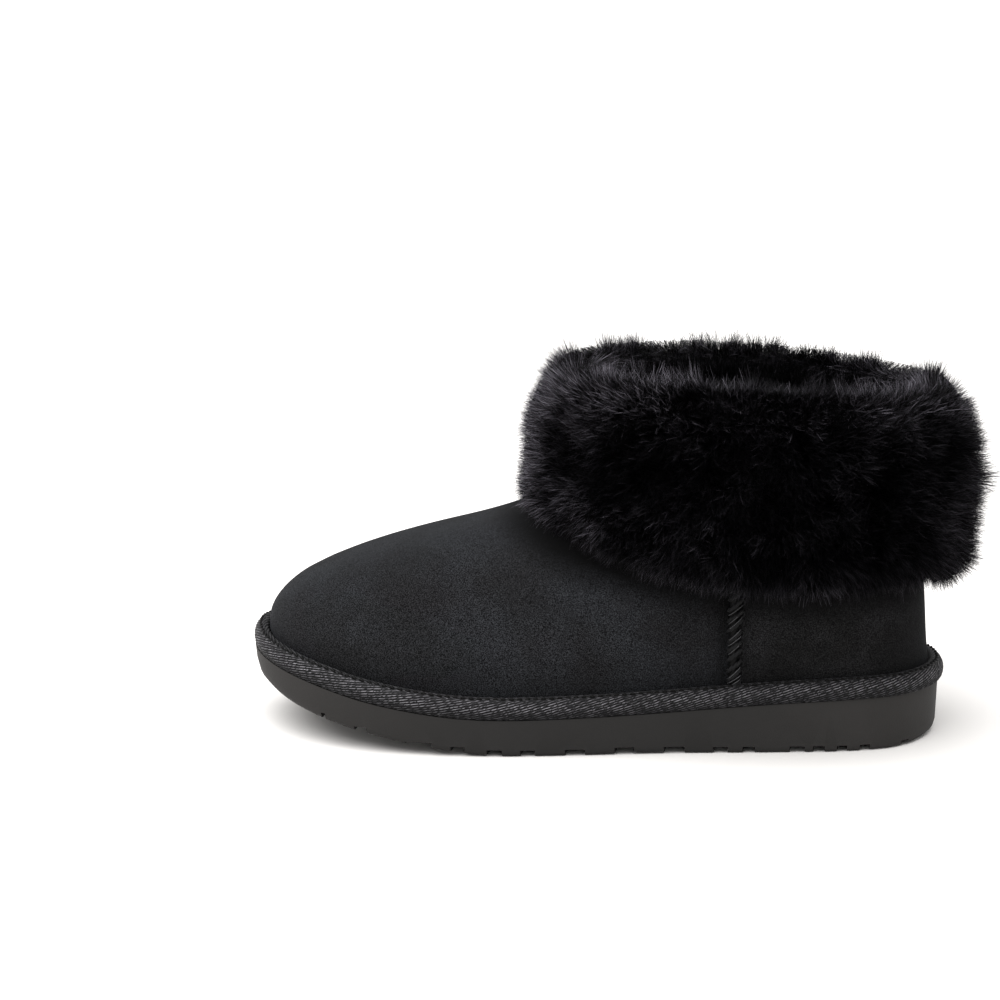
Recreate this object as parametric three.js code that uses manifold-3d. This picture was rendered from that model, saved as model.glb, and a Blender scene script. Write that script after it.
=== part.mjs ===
// A sheepskin ankle boot for the left foot, in millimetres, +Z up. The toe points to -X, the outer side to
// -Y. It is put together as the real one is: a moulded outsole, a woven tape wound round the seam above it,
// a sheepskin upper with its fleece inside, a fleece insole, two whipped side seams, and a deep fur cuff
// turned down over the rim.
import * as THREE from "three";
import Module from "manifold-3d";
import { mergeVertices } from "three/addons/utils/BufferGeometryUtils.js";

const wasm = await Module();
wasm.setup();

// Driving sizes.
const length = 274; // over the tape, a European size 39
const ballWidth = 100; // over the tape, at its widest
const gap = 0.3; // between pieces that meet
const tapeWidth = 6; // how far the tape stands out from the upper
const tapeHeight = 8.2;
const wall = 7; // sheepskin: 1.5 of leather and the fleece on it
const insoleHeight = 6;
const seamAt = 53.5; // the side seams' place along the foot
const seamWidth = 5;
const seamHeight = 1.8;

// Half-widths of the plan outline as shares of the ball width, a row every 15 degrees round from heel to
// toe.
const outlineRows = [
  { outer: 0.0, inner: 0.0 },
  { outer: 0.17, inner: 0.17 },
  { outer: 0.315, inner: 0.318 },
  { outer: 0.381, inner: 0.383 },
  { outer: 0.408, inner: 0.378 },
  { outer: 0.433, inner: 0.367 },
  { outer: 0.476, inner: 0.386 },
  { outer: 0.512, inner: 0.44 },
  { outer: 0.506, inner: 0.482 },
  { outer: 0.448, inner: 0.462 },
  { outer: 0.323, inner: 0.374 },
  { outer: 0.142, inner: 0.24 },
  { outer: -0.078, inner: 0.078 },
];

// The outsole by the share of the length from the heel: the height of its top face, how far its wall stands
// in from the tape, and the radius of its lower corner.
const soleRows = [
  { along: 0.0, top: 21.4, inset: 2.0, corner: 3.4 },
  { along: 0.12, top: 21.2, inset: 1.5, corner: 2.0 },
  { along: 0.25, top: 19.6, inset: 1.2, corner: 1.8 },
  { along: 0.4, top: 16.7, inset: 1.0, corner: 1.8 },
  { along: 0.55, top: 14.9, inset: 0.9, corner: 1.8 },
  { along: 0.68, top: 15.0, inset: 0.8, corner: 1.8 },
  { along: 0.8, top: 19.0, inset: 0.7, corner: 2.4 },
  { along: 0.9, top: 24.8, inset: 0.4, corner: 3.8 },
  { along: 1.0, top: 30.5, inset: 0.2, corner: 7.0 },
];
const soleDraft = 0.5; // how far the wall leans in on its way down

// The underside: flat under heel and ball, a little hollow under the arch, rising at both ends.
const arch = { from: 0.34, to: 0.52, rise: 0.6 };
const toeSpring = { from: 0.62, rise: 18.5, power: 1.5 };
const heelBevel = { to: 0.09, rise: 1.2, power: 2 };

// Grooves across the tread, from toe to heel: where they come out at the sole's edge, how wide and how deep.
const grooveRows = [
  { at: -105.2, width: 1.8, deep: 2.8 },
  { at: -89.5, width: 5.2, deep: 2.4 },
  { at: -66.2, width: 10.6, deep: 1.8 },
  { at: -51.2, width: 5.4, deep: 2.6 },
  { at: -37.2, width: 5.8, deep: 2.6 },
  { at: -24.6, width: 5.6, deep: 2.6 },
  { at: -6.8, width: 7.6, deep: 2.6 },
  { at: 11.8, width: 7.4, deep: 2.6 },
  { at: 30.6, width: 7.9, deep: 2.6 },
  { at: 48.1, width: 5.6, deep: 2.6 },
  { at: 58.9, width: 4.8, deep: 2.6 },
  { at: 77.3, width: 5.8, deep: 2.6 },
  { at: 85.5, width: 4.5, deep: 2.6 },
  { at: 94.3, width: 3.8, deep: 2.6 },
  { at: 103.0, width: 3.8, deep: 2.6 },
  { at: 118.0, width: 2.6, deep: 2.4 },
];
const grooveBend = 6; // how far a groove swings back at the middle of the sole

// Loops round the upper from the outsole to the rim. Each lies between a front point on the instep and a
// back point on the heel. half is the half-width of its oval, blunt the oval's power (1 is an ellipse),
// oval how far it has turned from the plan outline into that oval, and level how far it has left the
// outsole's own curve.
const upperRows = [
  { frontX: -131.0, frontZ: 31, backX: 131.0, backZ: 22, half: 41, blunt: 0.5, oval: 0.0, level: 0.0 },
  { frontX: -131.0, frontZ: 39, backX: 131.0, backZ: 30, half: 41, blunt: 0.5, oval: 0.0, level: 0.0 },
  { frontX: -129.8, frontZ: 47, backX: 130.2, backZ: 37, half: 42, blunt: 0.52, oval: 0.1, level: 0.45 },
  { frontX: -120.5, frontZ: 57, backX: 129.6, backZ: 44, half: 42, blunt: 0.56, oval: 0.28, level: 0.85 },
  { frontX: -97.0, frontZ: 67.6, backX: 129.0, backZ: 52, half: 40, blunt: 0.6, oval: 0.5, level: 1.0 },
  { frontX: -66.0, frontZ: 77.4, backX: 128.3, backZ: 60, half: 39, blunt: 0.66, oval: 0.7, level: 1.0 },
  { frontX: -33.0, frontZ: 86.6, backX: 127.4, backZ: 70, half: 39.5, blunt: 0.74, oval: 0.86, level: 1.0 },
  { frontX: -14.5, frontZ: 97.5, backX: 126.2, backZ: 85, half: 40.5, blunt: 0.82, oval: 0.95, level: 1.0 },
  { frontX: -6.5, frontZ: 111, backX: 124.8, backZ: 100, half: 41.2, blunt: 0.88, oval: 1.0, level: 1.0 },
  { frontX: -3.2, frontZ: 124, backX: 123.6, backZ: 115, half: 41.8, blunt: 0.9, oval: 1.0, level: 1.0 },
  { frontX: -2.2, frontZ: 137, backX: 122.8, backZ: 129, half: 42, blunt: 0.9, oval: 1.0, level: 1.0 },
];
const tapeTopRow = 1;
const riseAboveTape = 6; // a loop's rise over the one below it, as long as it follows the outsole's curve

// Loops round the fur of the cuff, from its lower edge over the crest to the lining. sag is how far a loop
// hangs down at the sides, or stands up where it is negative.
const furRows = [
  { frontX: -30.6, frontZ: 90.5, backX: 139.5, backZ: 64.0, half: 56, sag: 17 },
  { frontX: -31.2, frontZ: 100, backX: 147.0, backZ: 75, half: 64, sag: 11 },
  { frontX: -30.4, frontZ: 116, backX: 148.0, backZ: 96, half: 65, sag: 4 },
  { frontX: -27.5, frontZ: 131, backX: 148.8, backZ: 116, half: 63.5, sag: 0 },
  { frontX: -21.0, frontZ: 142, backX: 146.8, backZ: 132, half: 59.5, sag: -2.5 },
  { frontX: -11.0, frontZ: 148, backX: 137.0, backZ: 141.5, half: 50.5, sag: -4 },
  { frontX: -1.5, frontZ: 146, backX: 122.0, backZ: 140.5, half: 41, sag: -4 },
];
const furBlunt = 0.8;
const furBelowSkin = 1; // the fur's lowest loop hangs this far under the edge of the skin

// One column of a table between its rows, on a smooth curve through them.
function read(rows, column, at, place) {
  const put = (k) => (place ? rows[k][place] : k);
  let i = 0;
  while (i < rows.length - 2 && at > put(i + 1)) i++;
  const slope = (k) => {
    const [a, b] = [Math.max(k - 1, 0), Math.min(k + 1, rows.length - 1)];
    return (rows[b][column] - rows[a][column]) / (put(b) - put(a));
  };
  const span = put(i + 1) - put(i);
  const t = (at - put(i)) / span;
  return (
    rows[i][column] * (1 + 2 * t) * (1 - t) ** 2 +
    slope(i) * span * t * (1 - t) ** 2 +
    rows[i + 1][column] * t * t * (3 - 2 * t) +
    slope(i + 1) * span * t * t * (t - 1)
  );
}

// The plan outline over the tape: a closed curve that starts at the heel and runs down the inner side to
// the toe.
function planCurve() {
  const step = Math.PI / (outlineRows.length - 1);
  const at = (k, side, share) =>
    new THREE.Vector3((length / 2) * Math.cos(k * step), side * share * ballWidth, 0);
  const outer = outlineRows.map((row, k) => at(k, -1, row.outer));
  const inner = outlineRows.map((row, k) => at(k, 1, row.inner));
  return new THREE.CatmullRomCurve3([...inner, ...outer.slice(1, -1).reverse()], true, "catmullrom");
}
const plan = planCurve();

// A point of the plan outline, taken in by inset. turn runs from 0 at the heel to 1 back there.
function outlinePoint(turn, inset) {
  const point = plan.getPoint(turn);
  const way = plan.getTangent(turn);
  return new THREE.Vector3(point.x - way.y * inset, point.y + way.x * inset, 0);
}

const alongOf = (x) => THREE.MathUtils.clamp(0.5 - x / length, 0, 1);
const soleTop = (x) => read(soleRows, "top", alongOf(x), "along");

function soleBottom(x) {
  const along = alongOf(x);
  const toe = Math.max(0, (along - toeSpring.from) / (1 - toeSpring.from));
  const heel = Math.max(0, (heelBevel.to - along) / heelBevel.to);
  const middle = THREE.MathUtils.clamp((along - arch.from) / (arch.to - arch.from), 0, 1);
  return (
    toeSpring.rise * toe ** toeSpring.power +
    heelBevel.rise * heel ** heelBevel.power +
    arch.rise * Math.sin(Math.PI * middle) ** 2
  );
}

// How far round from the back to the front a turn is, from 0 to 1, and how much a loop sags there: most a
// little in front of the middle of each side, and not at all at its two ends.
const frontShare = (turn) => (1 - Math.cos(2 * Math.PI * turn)) / 2;
const sagShare = (turn) => Math.sin(2 * Math.PI * turn) ** 2 * Math.sqrt(frontShare(turn));

// Across an oval loop that is half wide, with a power for its ends.
function ovalSide(turn, half, power) {
  const side = Math.sin(2 * Math.PI * turn);
  return half * Math.sign(side) * Math.abs(side) ** power;
}

// A point of the upper's outer face. row counts up the table of loops, and may lie between two of them.
function upperPoint(row, turn) {
  const at = {};
  for (const column of Object.keys(upperRows[0])) at[column] = read(upperRows, column, row, null);
  const base = outlinePoint(turn, tapeWidth);
  const reach = length / 2 - tapeWidth;
  const baseShare = THREE.MathUtils.clamp((reach - base.x) / (2 * reach), 0, 1);
  const share = THREE.MathUtils.lerp(baseShare, frontShare(turn), at.oval);
  const lift = gap + (tapeHeight - gap) * Math.min(row, tapeTopRow);
  const upright = soleTop(base.x) + lift + riseAboveTape * Math.max(row - tapeTopRow, 0);
  return new THREE.Vector3(
    THREE.MathUtils.lerp(at.backX, at.frontX, share),
    THREE.MathUtils.lerp(base.y, ovalSide(turn, at.half, at.blunt), at.oval),
    THREE.MathUtils.lerp(upright, THREE.MathUtils.lerp(at.backZ, at.frontZ, share), at.level),
  );
}

// The same face moved out along its normal, or in where out is negative.
function upperOffset(row, turn, out) {
  const step = 1e-3;
  const last = upperRows.length - 1;
  const low = upperPoint(Math.max(row - 10 * step, 0), turn);
  const high = upperPoint(Math.min(row + 10 * step, last), turn);
  const back = upperPoint(row, turn - step);
  const ahead = upperPoint(row, turn + step);
  const normal = ahead.sub(back).cross(high.sub(low)).normalize();
  return upperPoint(row, turn).addScaledVector(normal, out);
}

// Rings of points joined into one mesh. The last ring meets the first when closed, or else each end is
// capped: across from side to side when strips is set, so that the cap keeps the rings' own rise, and
// otherwise with a fan.
function joinRings(rings, { closed = false, strips = false } = {}) {
  const count = rings[0].length;
  const positions = rings.flat().flatMap((p) => [p.x, p.y, p.z]);
  const faces = [];
  const quad = (a, b, c, d) => faces.push(a, b, c, a, c, d);
  const turns = closed ? rings.length : rings.length - 1;
  for (let r = 0; r < turns; r++) {
    const [low, high] = [r * count, ((r + 1) % rings.length) * count];
    for (let i = 0; i < count; i++) {
      const j = (i + 1) % count;
      quad(low + i, low + j, high + j, high + i);
    }
  }
  const cap = (start, flip) => {
    const add = (a, b, c) => faces.push(start + a, start + (flip ? c : b), start + (flip ? b : c));
    if (!strips) {
      for (let i = 1; i < count - 1; i++) add(0, i, i + 1);
      return;
    }
    for (let i = 0; i < count / 2; i++) {
      const [a, b, c, d] = [i, i + 1, count - i - 1, (count - i) % count];
      if (b !== c) add(a, b, c);
      if (a !== d) add(a, c, d);
    }
  };
  if (!closed) {
    cap(0, true);
    cap((rings.length - 1) * count, false);
  }
  const geometry = new THREE.BufferGeometry();
  geometry.setAttribute("position", new THREE.Float32BufferAttribute(positions, 3));
  geometry.setIndex(faces);
  return geometry;
}

const turnsOf = (count) => Array.from({ length: count }, (_, i) => i / count);
const steps = (from, to, count) =>
  Array.from({ length: count + 1 }, (_, i) => from + ((to - from) * i) / count);

function solidOf(geometry) {
  const bare = geometry.index ? geometry.toNonIndexed() : geometry.clone();
  for (const name of ["normal", "uv"]) bare.deleteAttribute(name);
  const merged = mergeVertices(bare, 1e-4);
  const vertProperties = merged.attributes.position.array;
  const triVerts = new Uint32Array(merged.index.array);
  return new wasm.Manifold(new wasm.Mesh({ numProp: 3, vertProperties, triVerts }));
}

function geometryOf(solid) {
  const mesh = solid.getMesh();
  const geometry = new THREE.BufferGeometry();
  geometry.setAttribute("position", new THREE.BufferAttribute(mesh.vertProperties, 3));
  geometry.setIndex(new THREE.BufferAttribute(mesh.triVerts, 1));
  return geometry;
}

// The outsole: one moulding, its wall a little inside the tape, its lower corner rounder at heel and toe.
function soleBody() {
  const topPoint = (turn) => {
    const edge = outlinePoint(turn, 0);
    const point = outlinePoint(turn, read(soleRows, "inset", alongOf(edge.x), "along"));
    return point.setZ(soleTop(point.x));
  };
  const cornerPoint = (turn, degrees) => {
    const edge = outlinePoint(turn, 0);
    const inset = read(soleRows, "inset", alongOf(edge.x), "along") + soleDraft;
    const radius = read(soleRows, "corner", alongOf(edge.x), "along");
    const angle = THREE.MathUtils.degToRad(degrees);
    const point = outlinePoint(turn, inset + radius * (1 - Math.cos(angle)));
    return point.setZ(soleBottom(point.x) + radius * (1 - Math.sin(angle)));
  };
  const turns = turnsOf(96);
  const corner = [90, 60, 30, 0].map((degrees) => turns.map((turn) => cornerPoint(turn, degrees)));
  return joinRings([...corner, turns.map(topPoint)], { strips: true });
}

// A groove's cutter: a band right across the tread that swings back at its middle.
function grooveCutter({ at, width, deep }) {
  const edge = 0.46 * ballWidth;
  const reach = ballWidth;
  const middle = (y) => at + grooveBend * (1 - Math.abs(y) / edge);
  const front = [-reach, 0, reach].map((y) => new THREE.Vector2(middle(y) - width / 2, y));
  const back = [reach, 0, -reach].map((y) => new THREE.Vector2(middle(y) + width / 2, y));
  const depth = 20;
  const band = new THREE.Shape([...front, ...back]);
  const cutter = new THREE.ExtrudeGeometry(band, { depth, bevelEnabled: false, steps: 1 });
  return cutter.translate(0, 0, soleBottom(at) + deep - depth);
}

function outsole() {
  let body = solidOf(soleBody());
  for (const groove of grooveRows) body = body.subtract(solidOf(grooveCutter(groove)));
  return geometryOf(body);
}

// The tape: a rounded band wound round the foot of the upper, flat inside and underneath.
function tape() {
  const inside = tapeWidth - gap;
  const section = [
    { inset: inside, lift: gap },
    { inset: 1.6, lift: gap },
    { inset: 0.4, lift: 1.6 },
    { inset: 0, lift: 3.6 },
    { inset: 0.4, lift: 5.8 },
    { inset: 1.8, lift: 7.6 },
    { inset: 3.8, lift: 8.3 },
    { inset: inside, lift: 7.6 },
  ];
  const rings = section.map(({ inset, lift }) =>
    turnsOf(96).map((turn) => {
      const point = outlinePoint(turn, inset);
      return point.setZ(soleTop(point.x) + lift);
    }),
  );
  return joinRings(rings, { closed: true });
}

// The upper: one wall, open under the foot and at the rim.
function upper() {
  const turns = turnsOf(60);
  const last = upperRows.length - 1;
  const outside = steps(0, last, 20).map((row) => turns.map((turn) => upperPoint(row, turn)));
  const inside = steps(last, 0, 13).map((row) =>
    turns.map((turn) => {
      const point = upperOffset(row, turn, -wall);
      if (row === 0) point.setZ(soleTop(point.x) + gap);
      return point;
    }),
  );
  return joinRings([...outside, ...inside], { closed: true });
}

// The insole: a fleece sock that fills the foot of the upper.
function insole() {
  const edge = tapeWidth + wall + gap;
  const ring = (inset, lift) =>
    turnsOf(48).map((turn) => {
      const point = outlinePoint(turn, edge + inset);
      return point.setZ(soleTop(point.x) + lift);
    });
  const rings = [ring(0.4, gap), ring(0, 1.5), ring(0.2, insoleHeight - 1.5), ring(2, insoleHeight)];
  return joinRings(rings, { strips: true });
}

// Where a falling function passes zero.
function crossing(falling, low, high) {
  for (let i = 0; i < 30; i++) {
    const middle = (low + high) / 2;
    if (falling(middle) > 0) low = middle;
    else high = middle;
  }
  return (low + high) / 2;
}

// The turn at which a loop of the upper is at x along the foot, on the inner side (1) or the outer side
// (-1).
function turnAtX(row, x, side) {
  const turnOf = (half) => (side > 0 ? half : 1 - half);
  return turnOf(crossing((half) => upperPoint(row, turnOf(half)).x - x, 0, 0.5));
}

// A point of the fur's outer face.
function furPoint(row, turn) {
  const at = {};
  for (const column of Object.keys(furRows[0])) at[column] = read(furRows, column, row, null);
  const share = frontShare(turn);
  return new THREE.Vector3(
    THREE.MathUtils.lerp(at.backX, at.frontX, share),
    ovalSide(turn, at.half, furBlunt),
    THREE.MathUtils.lerp(at.backZ, at.frontZ, share) - at.sag * sagShare(turn),
  );
}

// Where on the upper the cuff's skin ends: level with the fur's lowest loop, and straight in from it.
function cuffEnd(turn) {
  const last = upperRows.length - 1;
  const height = (at) => furPoint(0, at).z + furBelowSkin;
  const endRow = (at) => crossing((row) => height(at) - upperPoint(row, at).z, 0, last);
  const [backX, frontX] = [0, 0.5].map((at) => upperPoint(endRow(at), at).x);
  const x = THREE.MathUtils.lerp(backX, frontX, frontShare(turn));
  const side = turn < 0.5 ? 1 : -1;
  const row = crossing((at) => height(turn) - upperPoint(at, turnAtX(at, x, side)).z, tapeTopRow, last);
  return { row, turn: turnAtX(row, x, side) };
}

// The cuff: skin and fur together. It lies down the outside of the upper, goes over the rim, and meets the
// lining.
function cuff() {
  const turns = turnsOf(60);
  const last = upperRows.length - 1;
  const fur = steps(0, furRows.length - 1, 12).map((row) => turns.map((turn) => furPoint(row, turn)));
  const overRim = [-wall, gap].map((out) =>
    turns.map((turn) => {
      const point = upperOffset(last, turn, out);
      return point.setZ(upperPoint(last, turn).z + 2 * gap);
    }),
  );
  const ends = turns.map(cuffEnd);
  const skin = steps(0, 1, 6).map((down) =>
    turns.map((turn, i) => {
      const row = THREE.MathUtils.lerp(last, ends[i].row, down);
      return upperOffset(row, THREE.MathUtils.lerp(turn, ends[i].turn, down), 2 * gap);
    }),
  );
  return joinRings([...fur, ...overRim, ...skin], { closed: true });
}

// A side seam: a rounded ridge that climbs the upper from the tape to the cuff.
function sideSeam(side) {
  const low = tapeTopRow + 0.15;
  const high = cuffEnd(side > 0 ? 0.25 : 0.75).row - 0.25;
  const rings = steps(low, high, 8).map((row) =>
    steps(-1, 1, 6).map((share) => {
      const turn = turnAtX(row, seamAt - (side * share * seamWidth) / 2, side);
      return upperOffset(row, turn, gap + seamHeight * Math.sqrt(1 - share * share));
    }),
  );
  return joinRings(rings);
}

const suede = { color: 0x2c2e30, roughness: 0.95, metalness: 0 };
const foam = { color: 0x363433, roughness: 0.75, metalness: 0 };
const woven = { color: 0x333335, roughness: 0.8, metalness: 0 };
const fur = { color: 0x1b1a1c, roughness: 0.9, metalness: 0 };
const fleece = { color: 0x1e1d1f, roughness: 1, metalness: 0 };

function piece(name, geometry, finish) {
  const mesh = new THREE.Mesh(geometry, new THREE.MeshStandardMaterial(finish));
  mesh.name = name;
  return mesh;
}

const boot = new THREE.Group();
boot.add(
  piece("outsole", outsole(), foam),
  piece("sole_tape", tape(), woven),
  piece("upper", upper(), suede),
  piece("insole", insole(), fleece),
  piece("fur_cuff", cuff(), fur),
  piece("outer_side_seam", sideSeam(-1), suede),
  piece("inner_side_seam", sideSeam(1), suede),
);

// The origin is on the floor, under the middle of the boot's own box.
const box = new THREE.Box3().setFromObject(boot);
boot.position.set(-(box.min.x + box.max.x) / 2, -(box.min.y + box.max.y) / 2, -box.min.z);

export default boot;
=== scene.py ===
import math

import bmesh
import bpy
import numpy as np
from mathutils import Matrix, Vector, noise
from mathutils.bvhtree import BVHTree
from mathutils.kdtree import KDTree


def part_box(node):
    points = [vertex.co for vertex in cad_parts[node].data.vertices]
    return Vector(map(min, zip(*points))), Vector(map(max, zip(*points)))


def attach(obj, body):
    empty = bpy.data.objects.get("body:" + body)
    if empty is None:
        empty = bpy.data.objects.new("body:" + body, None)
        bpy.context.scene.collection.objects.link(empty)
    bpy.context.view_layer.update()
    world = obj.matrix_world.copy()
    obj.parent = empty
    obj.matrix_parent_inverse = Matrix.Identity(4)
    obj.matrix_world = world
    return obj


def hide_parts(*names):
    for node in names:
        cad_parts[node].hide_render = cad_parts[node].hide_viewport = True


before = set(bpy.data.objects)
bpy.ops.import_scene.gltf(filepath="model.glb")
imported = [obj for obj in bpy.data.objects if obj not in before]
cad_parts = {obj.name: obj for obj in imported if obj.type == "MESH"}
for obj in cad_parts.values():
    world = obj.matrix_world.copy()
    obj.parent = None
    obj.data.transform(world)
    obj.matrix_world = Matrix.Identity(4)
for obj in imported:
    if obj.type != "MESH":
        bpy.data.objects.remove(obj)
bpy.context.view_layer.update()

# ---- The stand and the light -----------------------------------------------------------------------------
# The boot stands on a plain pale floor, in even white light with a wide soft key from above, in front of the
# toe. Sizes are in metres, and foot_middle is the middle of the foot's length.

tape_low, tape_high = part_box("sole_tape")
foot_middle = (tape_low.x + tape_high.x) / 2
scene = bpy.context.scene


def show(name, data):
    made = bpy.data.objects.new(name, data)
    scene.collection.objects.link(made)
    return made


def aim(thing, place, way):
    thing.location = place
    thing.rotation_euler = Vector(way).to_track_quat("-Z", "Y").to_euler()


def new_finish(name, sockets):
    """A material, its node tree and its shader, with these constants on the shader."""
    material = bpy.data.materials.new(name)
    material.use_nodes = True
    tree = material.node_tree
    shader = tree.nodes["Principled BSDF"]
    for socket, value in sockets.items():
        shader.inputs[socket].default_value = value
    return material, tree, shader


def add(tree, kind, sockets, **settings):
    """A shader node. A socket is given a value, or another node's output to read."""
    node = tree.nodes.new("ShaderNode" + kind)
    for key, value in settings.items():
        setattr(node, key, value)
    for key, value in sockets.items():
        if isinstance(value, bpy.types.NodeSocket):
            tree.links.new(value, node.inputs[key])
        else:
            node.inputs[key].default_value = value
    return node


def grey(red, green, blue):
    """A colour as the eye reads it, from 0 to 255, in the linear values that a shader takes."""
    shares = [c / 255 for c in (red, green, blue)]
    return (*[s / 12.92 if s <= 0.04045 else ((s + 0.055) / 1.055) ** 2.4 for s in shares], 1)


camera = show("camera", bpy.data.cameras.new("camera"))
camera.data.lens = 95.75
camera.data.sensor_width = 36
aim(camera, (foot_middle + 0.0181, -1.0170, 0.3261), (-0.0538, 0.9726, -0.2263))
scene.camera = camera
scene.view_settings.view_transform = "Standard"

floor_shape = bmesh.new()
bmesh.ops.create_grid(floor_shape, x_segments=1, y_segments=1, size=60)
floor_mesh = bpy.data.meshes.new("floor")
floor_shape.to_mesh(floor_mesh)
floor = show("floor", floor_mesh)
pale = {"Base Color": grey(194, 192, 190), "Roughness": 0.9, "Specular IOR Level": 0.1}
floor_mesh.materials.append(new_finish("pale_floor", pale)[0])

world = bpy.data.worlds.new("studio")
scene.world = world
world.use_nodes = True
world.node_tree.nodes["Background"].inputs["Color"].default_value = (1, 1, 1, 1)
world.node_tree.nodes["Background"].inputs["Strength"].default_value = 1.15
key = show("key", bpy.data.lights.new("key", "SUN"))
key.data.energy = 6.5
key.data.angle = math.radians(75)
aim(key, (-0.4, -0.4, 1.5), (0.24, 0.26, -1))

# ---- Outsole ----------------------------------------------------------------------------------------------
# One light foam moulding with a matte skin, grooved across the tread. Its edges are a little rounded, as they
# come from the mould. Its skin is faintly mottled, and painted shade darkens it amid its length, where less
# light reaches than at the toe and heel.


def merged_shape(node, join=False):
    """The shape of a CAD node with its loose triangles merged, and joined into quads if asked."""
    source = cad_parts[node].data
    mesh = bpy.data.meshes.new(node)
    mesh.from_pydata([v.co for v in source.vertices], [], [p.vertices for p in source.polygons])
    shape = bmesh.new()
    shape.from_mesh(mesh)
    bpy.data.meshes.remove(mesh)
    bmesh.ops.remove_doubles(shape, verts=shape.verts, dist=0.00002)
    if join:
        lean = math.radians(60)
        bmesh.ops.join_triangles(
            shape, faces=shape.faces, angle_face_threshold=lean, angle_shape_threshold=lean
        )
    shape.normal_update()
    return shape


def piece(name, mesh, node=None):
    """A finished piece on the boot's only body. It stands for a CAD node if one is named."""
    made = show(name, mesh)
    mesh.shade_smooth()
    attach(made, "root")
    if node:
        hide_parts(node)
    return made


def mesh_of(name, shape, finishes):
    mesh = bpy.data.meshes.new(name)
    shape.to_mesh(mesh)
    shape.free()
    for finish in finishes:
        mesh.materials.append(finish)
    return mesh


foam, foam_tree, foam_shader = new_finish("matte_foam", {"Roughness": 0.7, "Specular IOR Level": 0.25})
foam_place = add(foam_tree, "TexCoord", {}).outputs["Object"]
foam_clouds = add(foam_tree, "TexNoise", {"Vector": foam_place, "Scale": 55, "Detail": 3, "Roughness": 0.6})
foam_grain = add(foam_tree, "TexNoise", {"Vector": foam_place, "Scale": 1500, "Detail": 2, "Roughness": 0.6})
foam_mix = add(
    foam_tree,
    "Mix",
    {0: foam_clouds.outputs["Fac"], 6: grey(26, 25, 24), 7: grey(34, 32, 31)},
    data_type="RGBA",
)
# Painted shade: the foam is coloured darker amid the sole's length than at the toe and heel.
foam_along = add(foam_tree, "SeparateXYZ", {"Vector": foam_place}).outputs["X"]
foam_far = add(foam_tree, "Math", {0: foam_along, 1: foot_middle}, operation="SUBTRACT").outputs[0]
foam_painted_shade = add(
    foam_tree,
    "MapRange",
    {
        "Value": add(foam_tree, "Math", {0: foam_far}, operation="ABSOLUTE").outputs[0],
        "From Min": 0.04,
        "From Max": 0.115,
        "To Min": 0.5,
        "To Max": 0.0,
    },
    interpolation_type="SMOOTHSTEP",
).outputs["Result"]
foam_colour = add(
    foam_tree, "Mix", {0: foam_painted_shade, 6: foam_mix.outputs[2], 7: grey(8, 8, 8)}, data_type="RGBA"
)
foam_bump = add(
    foam_tree, "Bump", {"Height": foam_grain.outputs["Fac"], "Strength": 0.35, "Distance": 0.0002}
)
foam_tree.links.new(foam_colour.outputs[2], foam_shader.inputs["Base Color"])
foam_tree.links.new(foam_bump.outputs["Normal"], foam_shader.inputs["Normal"])

sole_shape = merged_shape("outsole")
bmesh.ops.dissolve_limit(
    sole_shape, angle_limit=math.radians(0.6), verts=sole_shape.verts, edges=sole_shape.edges
)
outsole = piece("outsole_foam", mesh_of("outsole_foam", sole_shape, [foam]), "outsole")
rounding = outsole.modifiers.new("rounding", "BEVEL")
rounding.width = 0.0005
rounding.segments = 2
rounding.limit_method = "ANGLE"
rounding.angle_limit = math.radians(38)
rounding.harden_normals = True

# ---- Upper ------------------------------------------------------------------------------------------------
# One sheepskin, its suede side out and its fleece inside: a front panel that wraps the toe and instep, and
# a heel panel behind the side seams. The nap shows soft cloudy patches, and the flex of the foot leaves a few
# shallow troughs and ridges. Painted shade darkens the nap low down, round the seams, under the cuff and
# where it faces up. The heel panel carries painted shade towards its edges and a painted sheen amid it.

mm = 0.001
seam_x = foot_middle + 53.5 * mm
creases = [
    # from and to are (along, height) on the boot's side, rise is out of the surface, and width is how far it
    # fades on each side. side is -1 for the outer side, 1 for the inner, and 0 for both.
    {"from": (-44, 70), "to": (-24, 46), "rise": -0.6, "width": 9, "side": 0},
    {"from": (-64, 62), "to": (-48, 40), "rise": 0.4, "width": 9, "side": 0},
    {"from": (-92, 56), "to": (-84, 42), "rise": -0.4, "width": 8, "side": 0},
    {"from": (-18, 70), "to": (14, 46), "rise": 0.6, "width": 9, "side": 0},
    {"from": (2, 64), "to": (30, 36), "rise": -0.6, "width": 8, "side": 0},
    {"from": (-112, 44), "to": (-60, 30), "rise": 0.4, "width": 6, "side": -1},
    {"from": (62, 50), "to": (104, 42), "rise": -0.6, "width": 9, "side": 0},
    {"from": (70, 36), "to": (112, 32), "rise": 0.4, "width": 6, "side": 0},
    {"from": (46, 66), "to": (50, 30), "rise": -0.6, "width": 4, "side": 0},
]

suede, suede_tree, suede_shader = new_finish(
    "napped_suede",
    {
        "Roughness": 0.95,
        "Specular IOR Level": 0.05,
        "Sheen Weight": 0.03,
        "Sheen Roughness": 0.5,
        "Sheen Tint": grey(190, 195, 205),
    },
)
suede_place = add(suede_tree, "TexCoord", {}).outputs["Object"]


def suede_noise(scale, detail, rough):
    sockets = {"Vector": suede_place, "Scale": scale, "Detail": detail, "Roughness": rough}
    return add(suede_tree, "TexNoise", sockets).outputs["Fac"]


def suede_mix(share, first, second, blend="MIX"):
    sockets = {0: share, 6: first, 7: second}
    return add(suede_tree, "Mix", sockets, data_type="RGBA", blend_type=blend).outputs[2]


def suede_share(value, low, high):
    sockets = {"Value": value, "From Min": low, "From Max": high}
    return add(suede_tree, "MapRange", sockets, interpolation_type="SMOOTHSTEP").outputs["Result"]


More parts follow.
